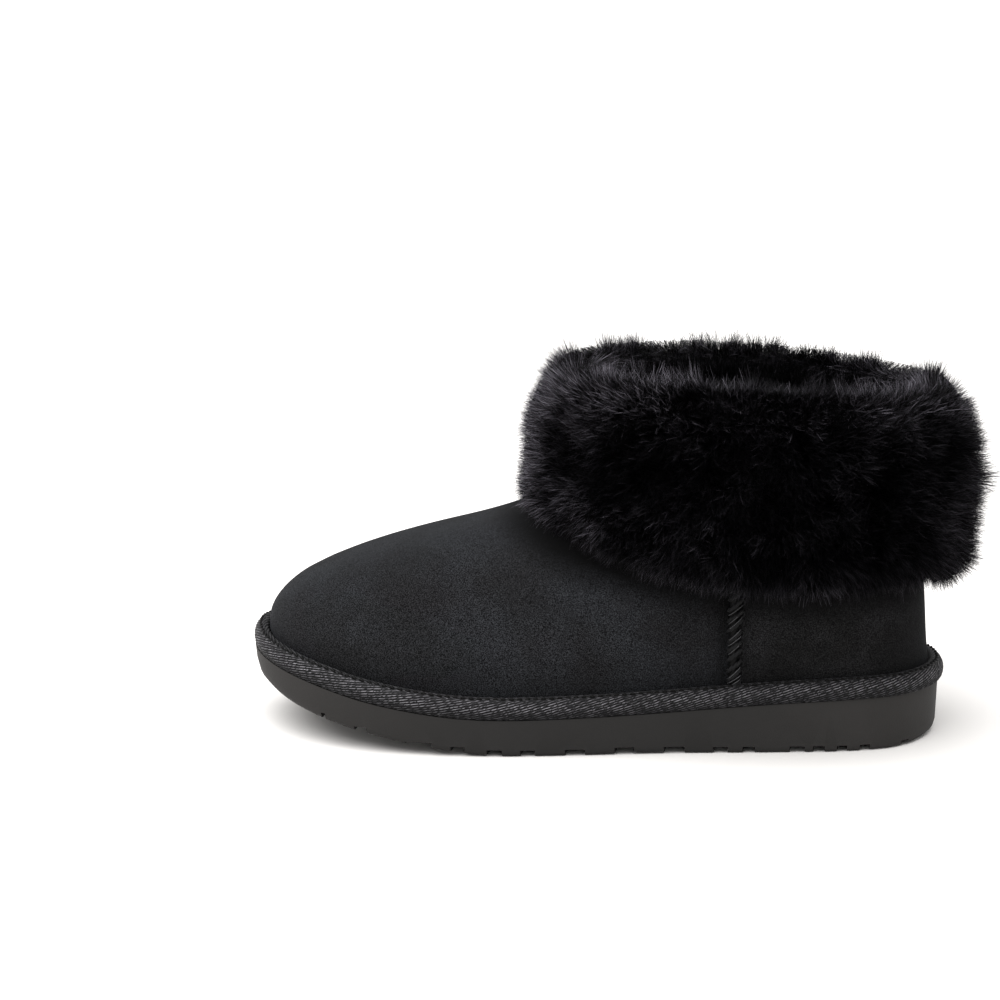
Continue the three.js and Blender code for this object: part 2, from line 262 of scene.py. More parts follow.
suede_patches = suede_share(suede_noise(32, 4, 0.55), 0.36, 0.66)
suede_nap = suede_share(suede_noise(2700, 2, 0.75), 0.44, 0.6)
suede_axes = add(suede_tree, "SeparateXYZ", {"Vector": suede_place}).outputs
front_colour = suede_mix(suede_patches, grey(22, 22, 23), grey(28, 29, 31))
heel_colour = suede_mix(suede_patches, grey(19, 19, 19), grey(31, 31, 32))
heel_share = suede_share(suede_axes["X"], seam_x - 0.001, seam_x + 0.001)
panel_colour = suede_mix(heel_share, front_colour, heel_colour)
nap_light = suede_mix(suede_nap, (0.18, 0.18, 0.18, 1), (2.35, 2.35, 2.35, 1))
napped_colour = suede_mix(1.0, panel_colour, nap_light, "MULTIPLY")
# Painted shade on the nap, read from the points: darker by the tape, round the seams, under the cuff and
# facing up.
suede_painted_shade = add(suede_tree, "Attribute", {}, attribute_name="painted_shade").outputs["Fac"]
suede_colour = suede_mix(suede_painted_shade, grey(3, 3, 3), napped_colour)
suede_tree.links.new(suede_colour, suede_shader.inputs["Base Color"])
suede_bump = add(
    suede_tree, "Bump", {"Height": suede_noise(1300, 4, 0.75), "Strength": 0.5, "Distance": 0.00035}
)
suede_tree.links.new(suede_bump.outputs["Normal"], suede_shader.inputs["Normal"])

fleece, fleece_tree, fleece_shader = new_finish(
    "black_fleece",
    {"Roughness": 1.0, "Specular IOR Level": 0.05, "Sheen Weight": 0.05, "Sheen Roughness": 0.6},
)
fleece_place = add(fleece_tree, "TexCoord", {}).outputs["Object"]
fleece_curls = add(fleece_tree, "TexVoronoi", {"Vector": fleece_place, "Scale": 330}, feature="SMOOTH_F1")
# Painted shade: the fleece is coloured darker in the hollows between its curls and lighter on their tops.
fleece_mix = add(
    fleece_tree,
    "Mix",
    {0: fleece_curls.outputs["Distance"], 6: grey(16, 16, 17), 7: grey(3, 3, 3)},
    data_type="RGBA",
)
fleece_bump = add(
    fleece_tree,
    "Bump",
    {"Height": fleece_curls.outputs["Distance"], "Strength": 1.0, "Distance": 0.0012},
    invert=True,
)
fleece_tree.links.new(fleece_mix.outputs[2], fleece_shader.inputs["Base Color"])
fleece_tree.links.new(fleece_bump.outputs["Normal"], fleece_shader.inputs["Normal"])


def subdivided(mesh, levels):
    """The mesh after a subdivision surface of that many levels is applied."""
    holder = show("subdividing", mesh)
    step = holder.modifiers.new("levels", "SUBSURF")
    step.levels = step.render_levels = levels
    graph = bpy.context.evaluated_depsgraph_get()
    done = bpy.data.meshes.new_from_object(holder.evaluated_get(graph))
    bpy.data.objects.remove(holder)
    bpy.data.meshes.remove(mesh)
    return done


def points_and_normals(mesh):
    points = np.empty(len(mesh.vertices) * 3, np.float32)
    mesh.vertices.foreach_get("co", points)
    normals = np.empty(len(mesh.vertices) * 3, np.float32)
    mesh.vertex_normals.foreach_get("vector", normals)
    return points.reshape(-1, 3).astype(float), normals.reshape(-1, 3).astype(float)


def crease_rise(points, normals):
    """How far each point of the suede moves out along its normal, in metres."""
    rise = np.zeros(len(points))
    along = (points[:, 0] - foot_middle) / mm
    height = points[:, 2] / mm
    for crease in creases:
        start, end = np.array(crease["from"], float), np.array(crease["to"], float)
        way = end - start
        share = ((along - start[0]) * way[0] + (height - start[1]) * way[1]) / (way @ way)
        share = np.clip(share, 0, 1)
        off = np.hypot(along - start[0] - share * way[0], height - start[1] - share * way[1])
        fade = np.exp(-((off / crease["width"]) ** 2))
        if crease["side"]:
            fade = fade * (normals[:, 1] * crease["side"] > 0)
        rise += crease["rise"] * mm * fade
    return rise


upper_shape = merged_shape("upper", join=True)
middle_line = BVHTree.FromBMesh(upper_shape)
upper_mesh = subdivided(mesh_of("suede_upper", upper_shape, [suede, fleece]), 2)
upper_points, upper_normals = points_and_normals(upper_mesh)
upper_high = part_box("upper")[1]


def faces_inside(mesh):
    """True for each face of the upper that looks across at another wall of it, well away."""
    inside = []
    for face in mesh.polygons:
        across = middle_line.ray_cast(face.center + face.normal * 6 * mm, face.normal, 0.3)[0]
        inside.append(across is not None)
    return inside


upper_inside = np.array(faces_inside(upper_mesh))
vertex_inside = np.zeros(len(upper_mesh.vertices), bool)
for face, inside in zip(upper_mesh.polygons, upper_inside):
    on_rim = face.center.z > upper_high.z - 6 * mm
    face.material_index = 1 if inside or on_rim else 0
    if inside:
        for vertex in face.vertices:
            vertex_inside[vertex] = True
above_tape = np.clip((upper_points[:, 2] - 0.026) / 0.012, 0, 1)
upper_rise = crease_rise(upper_points, upper_normals) * ~vertex_inside * above_tape
upper_points += upper_normals * upper_rise[:, None]
upper_mesh.vertices.foreach_set("co", upper_points.ravel())


def painted_shade_shares(points, normals):
    """Painted shade on the nap, as a share of its colour: darker low down, round the seams, under the cuff
    and where it faces up.
    """
    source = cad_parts["fur_cuff"].data
    cuff = BVHTree.FromPolygons([v.co for v in source.vertices], [p.vertices for p in source.polygons])
    below = np.array([cuff.find_nearest(Vector(point))[3] for point in points]) / mm
    height = points[:, 2] / mm
    along = (points[:, 0] - seam_x) / mm
    # Each share below is painted shade on the nap.
    low = np.clip((height - 28) / 14, 0, 1)
    beside = np.where(along < 0, np.exp(-(((along + 3.5) / 3.2) ** 2)), np.exp(-((along / 4) ** 2)))
    under = np.clip((below - 4) / 11, 0, 1)
    upward = np.clip(normals[:, 2], 0, 1)
    broad = np.exp(-((np.minimum(along, 0) / 30) ** 2))
    # A painted sheen amid the heel panel, and painted shade towards its edges.
    heel_painted_sheen_and_shade = np.where(along > 0, 0.78 + 0.3 * np.exp(-(((along - 40) / 20) ** 2)), 1)
    share = (0.62 + 0.38 * low) * (1 - 0.6 * beside) * (0.04 + 0.96 * under)
    return share * heel_painted_sheen_and_shade * (1 - 0.38 * upward) * (1 - 0.2 * broad)


# The painted shade is kept on the points for the suede's colour to read.
painted_shade = upper_mesh.attributes.new("painted_shade", "FLOAT", "POINT")
painted_shade.data.foreach_set("value", painted_shade_shares(upper_points, upper_normals).astype(np.float32))
piece("suede_upper", upper_mesh, "upper")

# ---- Insole -----------------------------------------------------------------------------------------------
# A loose fleece sock that fills the foot of the upper, with its edge rounded over.

insole_mesh = subdivided(mesh_of("fleece_insole", merged_shape("insole", join=True), [fleece]), 1)
piece("fleece_insole", insole_mesh, "insole")

# ---- Woven tape -------------------------------------------------------------------------------------------
# A folded band of herringbone twill wound round the joint of upper and sole, and sewn through close to its
# inner edge. Its ribs are real ridges. They climb towards the heel, and turn back over the upper half. Its
# colour carries painted highlights on the dashes of the weave, and painted shade towards the band's top and
# bottom.

rib_pitch = 3.9 * mm
rib_height = 0.24 * mm
rib_samples = 8
rib_lean = 4.1
stitch_pitch = 3.1 * mm
tape_detail = 2048
tape_lift = 8.3 * mm
crest_inset = 3.8
fold_point = 11
pinch_point = 12
pinch_depth = 0.5 * mm
tape_section = [
    # how far in from the tape's widest line and how high above the sole each point is, in mm, from the lower
    # inner edge round to the top
    (5.6, 0.3), (4.2, 0.2), (2.8, 0.15), (1.7, 0.15), (0.9, 0.65), (0.4, 1.45), (0.12, 2.6), (0.0, 3.6),
    (0.1, 4.7), (0.42, 5.8), (1.0, 6.8), (1.8, 7.6), (2.75, 8.15), (3.3, 8.28), (3.9, 8.3), (4.6, 8.1),
    (5.2, 7.7), (5.6, 7.2),
]


def traced_tape(count):
    """Points round the tape's widest line, the way out at each, and how high the sole's top is there."""
    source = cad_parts["sole_tape"].data
    tree = BVHTree.FromPolygons([v.co for v in source.vertices], [p.vertices for p in source.polygons])
    down = Vector((0, 0, -1))

    def over(x, y):
        return tree.ray_cast(Vector((x, y, 0.2)), down)[0]

    edge = []
    for turn in np.linspace(0, 2 * math.pi, 480, endpoint=False):
        way = (math.cos(turn), math.sin(turn))
        far = 0.16
        while over(foot_middle + far * way[0], far * way[1]) is None:
            far -= 0.002
        near, out = far, far + 0.002
        for _ in range(12):
            half = (near + out) / 2
            if over(foot_middle + half * way[0], half * way[1]) is None:
                out = half
            else:
                near = half
        edge.append(complex(foot_middle + near * way[0], near * way[1]))
    edge = smoothed(spread(np.array(edge), count))
    along = np.gradient(np.concatenate([edge[-2:], edge, edge[:2]]))[2:-2]
    along /= np.abs(along)
    outward = along * -1j
    crest = edge - outward * crest_inset * mm
    top = np.array([over(p.real, p.imag).z for p in crest])
    top = np.real(smoothed(top.astype(complex)))
    return edge, outward, top - tape_lift


def spread(loop, count):
    """The closed loop at count points, evenly along its length."""
    closed = np.append(loop, loop[0])
    length = np.concatenate([[0], np.cumsum(np.abs(np.diff(closed)))])
    at = np.linspace(0, length[-1], count, endpoint=False)
    return np.interp(at, length, closed.real) + 1j * np.interp(at, length, closed.imag)


def smoothed(loop, waves=26):
    """The closed loop without the short waves that the flats of its facets leave."""
    shares = np.fft.fft(loop)
    shares[waves + 1 : -waves] = 0
    return np.fft.ifft(shares)


tape_edge, tape_out, sole_top = traced_tape(tape_detail)
tape_length = np.abs(np.diff(np.append(tape_edge, tape_edge[0]))).sum()
stitch_count = round(tape_length / stitch_pitch)
station = np.arange(len(tape_edge)) / len(tape_edge)


def round_tape(share, inset, lift):
    """A point on the tape at a share of its whole length, inset and lift in mm."""
    share = np.mod(share, 1)

    def at(values):
        closed = np.append(values, values[0])
        return np.interp(share, np.append(station, 1), closed)

    edge = at(tape_edge.real) + 1j * at(tape_edge.imag)
    out = at(tape_out.real) + 1j * at(tape_out.imag)
    out /= np.abs(out)
    plan = edge - out * inset * mm
    return np.stack([plan.real, plan.imag, at(sole_top) + lift * mm], axis=-1), out


twill, twill_tree, twill_shader = new_finish(
    "herringbone_twill", {"Roughness": 0.6, "Specular IOR Level": 0.12}
)
twill_place = add(twill_tree, "TexCoord", {}).outputs


def twill_math(operation, first, second):
    return add(twill_tree, "Math", {0: first, 1: second}, operation=operation).outputs[0]


# The map's first number counts the ribs round the boot, and the second is the way up the tape in mm.
twill_map = add(twill_tree, "SeparateXYZ", {"Vector": twill_place["UV"]}).outputs
twill_fuzz = add(
    twill_tree, "TexNoise", {"Vector": twill_place["Object"], "Scale": 2200, "Detail": 2}
).outputs["Fac"]
twill_uneven = add(
    twill_tree, "TexNoise", {"Vector": twill_place["Object"], "Scale": 520, "Detail": 2}
).outputs["Fac"]
twill_stretch = add(
    twill_tree, "VectorMath", {0: twill_place["UV"], 1: (3.3, 0.55, 1)}, operation="MULTIPLY"
).outputs[0]
twill_yarns = add(
    twill_tree, "TexNoise", {"Vector": twill_stretch, "Scale": 1, "Detail": 3, "Roughness": 0.7}
).outputs["Fac"]


def twill_crest(turns, low, high):
    """How lit the weave is across a repeat: dark below low on its cosine wave, and full above high."""
    wave = twill_math("COSINE", twill_math("MULTIPLY", turns, 2 * math.pi), 0)
    return add(twill_tree, "MapRange", {"Value": wave, "From Min": low, "From Max": high}).outputs[0]


# Painted highlights: where a rib's crest meets a bead, the weave is coloured light, as the glints on its
# yarn.
twill_rib = twill_crest(twill_map["X"], -0.5, 0.9)
bead_turns = twill_math(
    "ADD", twill_math("MULTIPLY", twill_map["Y"], 1.2), twill_math("MULTIPLY", twill_map["X"], 2)
)
bead_turns = twill_math("ADD", bead_turns, twill_math("MULTIPLY", twill_uneven, 2.2))
twill_bead = twill_crest(bead_turns, -0.9, 0.3)
twill_dash = twill_math("MULTIPLY", twill_rib, twill_bead)
# Painted shade: the weave is coloured darker from the middle of the band towards its top and bottom edges.
off_middle = twill_math("ABSOLUTE", twill_math("SUBTRACT", twill_map["Y"], 9.8), 0)
twill_painted_shade = add(
    twill_tree,
    "MapRange",
    {"Value": off_middle, "From Min": 0.6, "From Max": 3.4, "To Min": 1.0, "To Max": 0.32},
).outputs[0]
twill_patchy = add(
    twill_tree, "MapRange", {"Value": twill_yarns, "From Min": 0.4, "From Max": 0.66, "To Min": 0.12}
).outputs[0]
twill_lit = twill_math("MULTIPLY", twill_math("MULTIPLY", twill_dash, twill_painted_shade), twill_patchy)
twill_tone = add(
    twill_tree, "Mix", {0: twill_lit, 6: grey(3, 3, 4), 7: grey(128, 126, 130)}, data_type="RGBA"
).outputs[2]
twill_tree.links.new(twill_tone, twill_shader.inputs["Base Color"])
twill_height = twill_math("ADD", twill_math("MULTIPLY", twill_dash, 1.5), twill_fuzz)
twill_bump = add(twill_tree, "Bump", {"Height": twill_height, "Strength": 0.6, "Distance": 0.00022})
twill_tree.links.new(twill_bump.outputs["Normal"], twill_shader.inputs["Normal"])


def tape_mesh():
    """The tape, its mesh lines laid along the ribs, so that each rib needs only a few of them."""
    ribs = round(tape_length / rib_pitch)
    count = ribs * rib_samples
    section = np.array(tape_section)
    steps = np.hypot(*np.diff(section, axis=0).T)
    around = np.concatenate([[0], np.cumsum(steps)])
    turn_back = around[fold_point]
    share = np.arange(count) / count
    rings = []
    ridge = 0.5 + 0.5 * np.cos(2 * math.pi * np.arange(count) / rib_samples)
    for (inset, lift), v, (before, after) in zip(section, around, section_ways(section)):
        climb = min(v, turn_back) - max(v - turn_back, 0) * 0.8
        places = share + climb * mm * rib_lean / tape_length
        points, out = round_tape(places, inset, lift)
        shown = min(1, max(0, (v - 2.5) / 2)) * min(1, max(0, (around[-1] - 0.8 - v) / 1.5))
        pinched = max(0, 1 - abs(v - around[pinch_point]) / 1.1)
        pull = np.clip(np.cos(2 * math.pi * places * stitch_count), 0, 1) ** 2
        rise = rib_height * shown * ridge - pinch_depth * pinched * (0.3 + 0.7 * pull)
        points[:, 0] += out.real * rise * before
        points[:, 1] += out.imag * rise * before
        points[:, 2] += rise * after
        rings.append(points)
    return np.array(rings), around


def section_ways(section):
    """For each point of the section, how much of its normal goes out and how much goes up."""
    ways = np.gradient(section, axis=0)
    ways /= np.hypot(ways[:, 0], ways[:, 1])[:, None]
    return [(w[1], w[0]) for w in ways]


def ring_mesh(name, rings, around, finishes):
    """A tube whose rings run right round the boot. It closes on itself both ways and carries its map."""
    layers, count = rings.shape[:2]
    layer, column = np.meshgrid(np.arange(layers), np.arange(count), indexing="ij")
    corners = np.array([[0, 0], [0, 1], [1, 1], [1, 0]])
    faces = np.stack(
        [(layer + up) % layers * count + (column + on) % count for up, on in corners], axis=-1
    ).reshape(-1, 4)
    mesh = bpy.data.meshes.new(name)
    mesh.from_pydata(rings.reshape(-1, 3), [], faces)
    closed = np.append(around, 2 * around[-1])
    uv = np.stack(
        [np.stack([(column + on) / rib_samples, closed[layer + up]], axis=-1) for up, on in corners], axis=-2
    )
    mesh.uv_layers.new(name="twill").data.foreach_set("uv", uv.astype(np.float32).ravel())
    for finish in finishes:
        mesh.materials.append(finish)
    return mesh


tape_rings, tape_around = tape_mesh()
tape_made = ring_mesh("woven_tape", tape_rings, tape_around, [twill])
piece("woven_tape", tape_made, "sole_tape")

# The stitches that hold the tape: a waxed thread that sinks into the twill at each end of a stitch.

stitch_length = 2.1 * mm
stitch_inset = 2.5
stitch_slant = 0.4
stitch_lift = 7.7
stitch_arch = 0.55
stitch_radius = 0.58 * mm
thread, thread_tree, thread_shader = new_finish("waxed_thread", {"Roughness": 0.6, "Specular IOR Level": 0.1})
thread_place = add(thread_tree, "TexCoord", {}).outputs["Object"]
thread_plies = add(
    thread_tree, "TexNoise", {"Vector": thread_place, "Scale": 900, "Detail": 2}
).outputs["Fac"]
thread_tone = add(
    thread_tree, "Mix", {0: thread_plies, 6: grey(1, 1, 1), 7: grey(5, 5, 5)}, data_type="RGBA"
)
thread_tree.links.new(thread_tone.outputs[2], thread_shader.inputs["Base Color"])
thread_bump = add(thread_tree, "Bump", {"Height": thread_plies, "Strength": 0.6, "Distance": 0.0002})
thread_tree.links.new(thread_bump.outputs["Normal"], thread_shader.inputs["Normal"])


def threads_mesh(name, runs, finishes, sides=2):
    """A mesh of many short threads. Each run is its points, the radius at each, and which finish it has."""
    curve = bpy.data.curves.new(name, "CURVE")
    curve.dimensions = "3D"
    curve.bevel_depth = 1
    curve.bevel_resolution = sides
    curve.use_fill_caps = True
    for finish in finishes:
        curve.materials.append(finish)
    for points, radii, which in runs:
        spline = curve.splines.new("POLY")
        spline.material_index = which
        spline.points.add(len(points) - 1)
        for point, place, radius in zip(spline.points, points, radii):
            point.co = (*place, 1)
            point.radius = radius
    holder = show(name + "_curve", curve)
    graph = bpy.context.evaluated_depsgraph_get()
    mesh = bpy.data.meshes.new_from_object(holder.evaluated_get(graph))
    bpy.data.objects.remove(holder)
    bpy.data.curves.remove(curve)
    mesh.name = name
    return mesh


def stitch_run(share):
    """One stitch along the tape, sinking at both ends."""
    steps = np.linspace(-0.5, 0.5, 7)
    inset = stitch_inset - steps * stitch_slant
    lift = stitch_lift + stitch_arch * np.cos(steps * math.pi)
    points = round_tape(share + steps * stitch_length / tape_length, inset, lift)[0]
    return points, stitch_radius * np.sqrt(np.clip(1 - (2 * steps) ** 2 * 0.8, 0.05, 1)), 0


stitch_runs = [stitch_run(k / stitch_count) for k in range(stitch_count)]
piece("tape_stitches", threads_mesh("tape_stitches", stitch_runs, [thread], 1))

# ---- Side seams -------------------------------------------------------------------------------------------
# Front and heel panels meet edge to edge and are whipped together from the tape up into the cuff: fat twisted
# yarn laid slantwise over the joint, here and there a thin paler thread between the turns, small loops down
# the back edge and a row of small tacks in front.

yarn_pitch = 4.1 * mm
yarn_across = 2.8 * mm
yarn_climb = 1.9 * mm
yarn_radius = 0.72 * mm
yarn_below = 0.003
yarn_above = 0.004
height_step = 0.0005
thin_radius = 0.14 * mm
thin_chance = 0.6
loop_radius = 0.24 * mm
tack_radius = 0.16 * mm
core_radius = 1.9 * mm

yarn, yarn_tree, yarn_shader = new_finish(
    "whipping_yarn", {"Roughness": 0.6, "Specular IOR Level": 0.12, "Sheen Weight": 0.01}
)
yarn_place = add(yarn_tree, "TexCoord", {}).outputs["Object"]
yarn_fuzz = add(yarn_tree, "TexNoise", {"Vector": yarn_place, "Scale": 1600, "Detail": 3}).outputs["Fac"]
yarn_tone = add(
    yarn_tree, "Mix", {0: yarn_fuzz, 6: grey(1, 1, 2), 7: grey(25, 25, 26)}, data_type="RGBA"
)
yarn_tree.links.new(yarn_tone.outputs[2], yarn_shader.inputs["Base Color"])
yarn_bump = add(yarn_tree, "Bump", {"Height": yarn_fuzz, "Strength": 0.8, "Distance": 0.0003})
yarn_tree.links.new(yarn_bump.outputs["Normal"], yarn_shader.inputs["Normal"])

bright_thread = new_finish("bright_thread", {"Roughness": 0.4, "Specular IOR Level": 0.5})[0]
bright_thread.node_tree.nodes["Principled BSDF"].inputs["Base Color"].default_value = grey(46, 46, 48)

upper_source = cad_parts["upper"].data
upper_tree = BVHTree.FromPolygons(
    [v.co for v in upper_source.vertices], [p.vertices for p in upper_source.polygons]
)


def on_side(x, z, side):
    """The suede's point at x and z on one side of the boot, and the way out of it there."""
    hit, normal = upper_tree.ray_cast(Vector((x, side * 0.2, z)), Vector((0, -side, 0)))[:2]
    return np.array(hit), np.array(normal)


def side_seam(name, node, side):
    low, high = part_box(node)
    heights = np.arange(low.z - yarn_below, high.z + yarn_above, height_step)
    places = [on_side(seam_x, z, side) for z in heights]
    outward = np.mean([normal for _, normal in places], axis=0)
    outward /= np.linalg.norm(outward)
    across = np.array([1.0, 0, 0])
    across -= outward * (across @ outward)
    across /= np.linalg.norm(across)
    centre = np.array([place for place, _ in places])
    hand = np.random.default_rng(31)

    def laid(z, right, out):
        middle = np.stack([np.interp(z, heights, centre[:, k]) for k in range(3)], axis=-1)
        return middle + np.outer(right, across) + np.outer(out, outward)

    runs = []
    turns = int((heights[-1] - heights[0]) / yarn_pitch)
    way = np.linspace(-1, 1, 15)
    for k in range(turns + 1):
        foot = heights[0] + (k + 0.25 + hand.uniform(-0.12, 0.12)) * yarn_pitch
        z = foot + way * yarn_climb * hand.uniform(0.8, 1.35)
        right = way * yarn_across * hand.uniform(0.88, 1.05)
        out = (hand.uniform(0.75, 1.2) * np.sqrt(np.clip(1 - way**2, 0, 1)) + 0.25) * mm
        turn = hand.uniform(0, math.pi)
        for ply in (0, 1):
            twist = turn + math.pi * (ply + 1.6 * way)
            plies = 0.5 * mm * np.stack([np.sin(twist), np.cos(twist) * 0.8])
            radii = yarn_radius * hand.uniform(0.78, 1) * (1 - 0.45 * np.abs(way) ** 3)
            runs.append((laid(z + plies[0], right, out + plies[1]), radii, 0))
        for share in (0.15, 0.6):
            if hand.random() < thin_chance:
                thin_z = z + yarn_pitch * (share + hand.uniform(-0.1, 0.15))
                thin = laid(thin_z, right * 0.9, out + 0.75 * mm)
                runs.append((thin, np.full(15, thin_radius), 1))
        loop_turn = np.linspace(0, math.pi, 9)
        loop_z = foot + yarn_climb * 0.4 - 1.1 * mm * np.cos(loop_turn)
        loop_right = yarn_across + (0.1 + 0.6 * np.sin(loop_turn)) * mm
        runs.append((laid(loop_z, loop_right, np.full(9, 0.3 * mm)), np.full(9, loop_radius), 0))
        tack = np.linspace(-1, 1, 5)
        tack_out = 0.12 * mm * (1 - tack**2)
        tacked = laid(foot + tack * 0.9 * mm, np.full(5, -4.4 * mm), tack_out)
        runs.append((tacked, np.full(5, tack_radius), 2))
    # A core along the joint under the yarn: partly the joint's ridge, and partly painted shade, near black so
    # that it shows as the shade between the turns.
    core_z = heights[:: max(1, len(heights) // 24)]
    core = laid(core_z, np.full(len(core_z), -0.2 * mm), np.full(len(core_z), -0.6 * mm))
    runs.append((core, np.full(len(core_z), core_radius), 2))
    piece(name, threads_mesh(name, runs, [yarn, bright_thread, thread]), node)


side_seam("outer_whipped_seam", "outer_side_seam", -1)
side_seam("inner_whipped_seam", "inner_side_seam", 1)

# ---- Fur cuff ---------------------------------------------------------------------------------------------
# The top of the sheepskin is turned down over the rim with its long fur outside. The skin under it is dark
# and hardly shows. The fur stands straight out of the skin, so it points up at the rim, down at the lower
# edge and out at the sides, and its tips gather in soft pointed tufts.

strand_count = 222000
lining_count = 36000
lock_spacing = 11 * mm
tuft_spacing = 3.6 * mm
strand_width = 0.18 * mm
fur_reach = (9 * mm, 20 * mm)
lining_reach = 8 * mm
lining_deep = 38 * mm
bend_shares = (0.09, 0.42, 0.49)
skin_search = 0.03
root_gap = 0.003
painted_sheen_limit = 0.6
# How much painted sheen each place on the cuff adds to the tips, greying them where the light falls.
least_painted_sheen, front_painted_sheen, edge_painted_sheen, back_painted_sheen = 0.005, 0.32, 0.5, 0.11
crest_painted_sheen, crest_front_painted_sheen, under_painted_sheen = 0.6, 1.7, 0.09
crest_reach = 19 * mm
# How far the tips at the rim stand up or lie down, in mm: near heel, all round, far heel, and at the back.
heel_rise, rim_drop, far_drop, back_drop = 3, 1.2, 3.2, 20
strand_vary = 1.1
root_vary = 0.7
half_cuff = 40 * mm
# Both sources of chance are seeded. Left alone, the noise starts from the clock, and the fur would differ.
draws = np.random.default_rng(7)
noise.seed_set(7)

fur, fur_tree, fur_shader = new_finish("black_fur", {"Roughness": 0.5, "Specular IOR Level": 0.04})
fur_uv = add(fur_tree, "SeparateXYZ", {"Vector": add(fur_tree, "TexCoord", {}).outputs["UV"]}).outputs
# The light end of the tone is the grey of the painted sheen.
fur_tone = add(
    fur_tree, "Mix", {0: fur_uv["X"], 6: grey(1, 1, 2), 7: grey(214, 208, 222)}, data_type="RGBA"
).outputs[2]
# Painted shade deep in the fur: each strand is near black up to its bend, and reaches its tone only towards
# the tip.
fur_painted_root_shade = add(fur_tree, "MapRange", {"Value": fur_uv["Y"], "From Min": 0.66, "From Max": 0.97}).outputs[0]
fur_shade = add(
    fur_tree, "Mix", {0: fur_painted_root_shade, 6: grey(1, 1, 1), 7: fur_tone}, data_type="RGBA"
).outputs[2]
fur_tree.links.new(fur_shade, fur_shader.inputs["Base Color"])

cuff_shape = merged_shape("fur_cuff")
cuff_shape.faces.ensure_lookup_table()


def is_fur_side(face):
    near = upper_tree.find_nearest(face.calc_center_median())[3]
    return near > 2.2 * mm


def scattered(faces, count):
    """Points spread evenly at random over the faces, and the smooth surface's normal at each."""
    areas = np.array([face.calc_area() for face in faces])
    corners = np.array([[v.co for v in face.verts] for face in faces])
    normals = np.array([[v.normal for v in face.verts] for face in faces])
    chosen = draws.choice(len(faces), count, p=areas / areas.sum())
    first, second = draws.random((2, count))
    fold = first + second > 1
    first, second = np.where(fold, 1 - first, first), np.where(fold, 1 - second, second)
    shares = np.stack([1 - first - second, first, second], axis=-1)[..., None]
    points = (corners[chosen] * shares).sum(axis=1)
    ways = (normals[chosen] * shares).sum(axis=1)
    return points, unit(ways)


def unit(vectors):
    return vectors / np.maximum(np.linalg.norm(vectors, axis=-1, keepdims=True), 1e-9)


def drift(points, scale, offset):
    """A smooth wandering vector at each point, each part from about -1 to 1. The offset picks the noise."""
    shift = Vector((offset * 3.7, offset * 1.3, offset * 2.1))
    return np.array([noise.noise_vector(Vector(p) * scale + shift) for p in points])


def strands_mesh(name, root, middle, tip, width, shade, finish):
    """Flat tapering strands on a curve from root to tip that leans by way of middle, three triangles each."""
    count = len(root)
    side = unit(np.cross(tip - root, draws.normal(size=(count, 3)))) * width / 2
    bend = root * bend_shares[0] + middle * bend_shares[1] + tip * bend_shares[2]
    points = np.stack([root - side, root + side, bend - side, bend + side, tip], axis=1)
    pattern = np.array([[0, 1, 3], [0, 3, 2], [2, 3, 4]])
    faces = (np.arange(count)[:, None, None] * 5 + pattern).reshape(-1, 3)
    mesh = bpy.data.meshes.new(name)
    mesh.from_pydata(points.reshape(-1, 3), [], faces)
    mesh.materials.append(finish)
    along = np.array([0, 0, 0.7, 0.7, 1.0])
    uv = np.empty((len(faces), 3, 2), np.float32)
    uv[..., 0] = np.repeat(shade, len(pattern))[:, None]
    uv[..., 1] = along[np.tile(pattern, (count, 1))]
    mesh.uv_layers.new(name="strand").data.foreach_set("uv", uv.ravel())
    return mesh


def nearest(tree, points):
    return np.array([tree.find(Vector(p))[1] for p in points])


cuff_low, cuff_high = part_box("fur_cuff")
cuff_middle = (cuff_low + cuff_high) / 2
crest_shares = np.linspace(0.05, 0.95, 19)
crest_window = 0.06
crest_heights = [
    max(
        v.co.z
        for v in cuff_shape.verts
        if abs((v.co.x - cuff_low.x) / (cuff_high.x - cuff_low.x) - at) < crest_window
    )
    for at in crest_shares
]
fur_faces = [face for face in cuff_shape.faces if is_fur_side(face)]
fur_area = sum(face.calc_area() for face in fur_faces)


def tufts_of(spacing, wander, scatter):
    """Tufts or locks all over the fur: where each stands, and how it leans off the straight way out."""
    points, ways = scattered(fur_faces, round(fur_area / spacing**2))
    lean = wander * drift(points, 45, spacing / mm) + scatter * draws.normal(size=points.shape)
    tree = KDTree(len(points))
    for k, place in enumerate(points):
        tree.insert(place, k)
    tree.balance()
    return points, ways, lean, tree


lock_points, _, lock_lean, lock_tree = tufts_of(lock_spacing, 0.34, 0.2)
lock_length = draws.normal(size=len(lock_points)) * 2.0 * mm
tuft_points, tuft_ways, tuft_lean, tuft_tree = tufts_of(tuft_spacing, 0.0, 0.14)
tuft_lean = tuft_lean + lock_lean[nearest(lock_tree, tuft_points)]
tuft_length = draws.normal(size=len(tuft_points)) * 1.3 * mm


